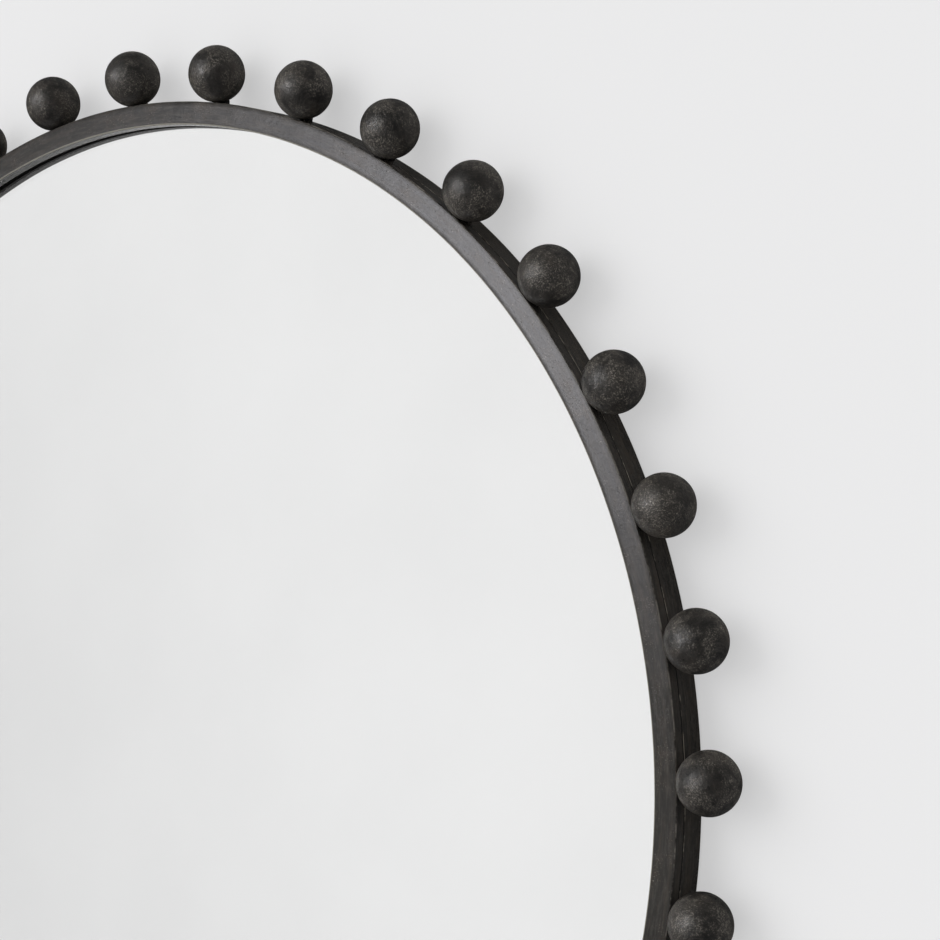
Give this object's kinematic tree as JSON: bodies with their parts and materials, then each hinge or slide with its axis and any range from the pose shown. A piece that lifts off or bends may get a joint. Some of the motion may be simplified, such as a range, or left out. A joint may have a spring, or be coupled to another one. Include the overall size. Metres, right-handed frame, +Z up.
{
  "type": "round wall mirror",
  "caption": "Round wall mirror: flat glass in a deep dark iron hoop, crowned all round with iron balls on short welds; swinging D-rings behind take the wall hooks.",
  "frame": {"origin": "on the wall plane, straight behind the mirror's centre", "axes": "+Z up, -Y out of the wall towards the viewer, so the glass faces -Y; +X to the viewer's right"},
  "size_m": [1.0104, 0.0456, 1.0104],
  "materials": {
    "forged_iron": "dark waxed iron with rubbed arrises",
    "ball_iron": "dark waxed forged iron, scuffed",
    "weld_metal": "weld bead, darkened",
    "mirror": "clear float glass, silvered behind",
    "fibreboard": "brown fibreboard, smooth",
    "tab_steel": "black painted strip steel",
    "zinc_steel": "zinc plated pressed steel",
    "screw_steel": "zinc plated",
    "felt": "dark wool felt"
  },
  "bodies": {
    "frame": {"front_ring": "forged_iron", "rear_band": "forged_iron", "balls": "ball_iron", "ball_welds": "weld_metal", "mirror_glass": "mirror", "backing_board": "fibreboard", "hanger_strap_left": "zinc_steel", "hanger_strap_right": "zinc_steel", "hanger_screws": "screw_steel", "retaining_tab_1": "tab_steel", "retaining_tab_2": "tab_steel", "retaining_tab_3": "tab_steel", "retaining_tab_4": "tab_steel", "retaining_tab_5": "tab_steel", "retaining_tab_6": "tab_steel", "retaining_tab_7": "tab_steel", "retaining_tab_8": "tab_steel", "felt_pad_1": "felt", "felt_pad_2": "felt", "felt_pad_3": "felt", "felt_pad_4": "felt"},
    "left_ring": {"hanger_ring_left": "zinc_steel"},
    "right_ring": {"hanger_ring_right": "zinc_steel"}
  },
  "joints": [
    {"name": "left_ring_swing", "type": "hinge", "parent": "frame", "child": "left_ring", "pos_m": [-0.28, -0.0043, 0.2], "axis": [1, 0, 0], "range_deg": [0, 180]},
    {"name": "right_ring_swing", "type": "hinge", "parent": "frame", "child": "right_ring", "pos_m": [0.28, -0.0043, 0.2], "axis": [1, 0, 0], "range_deg": [0, 180]}
  ]
}
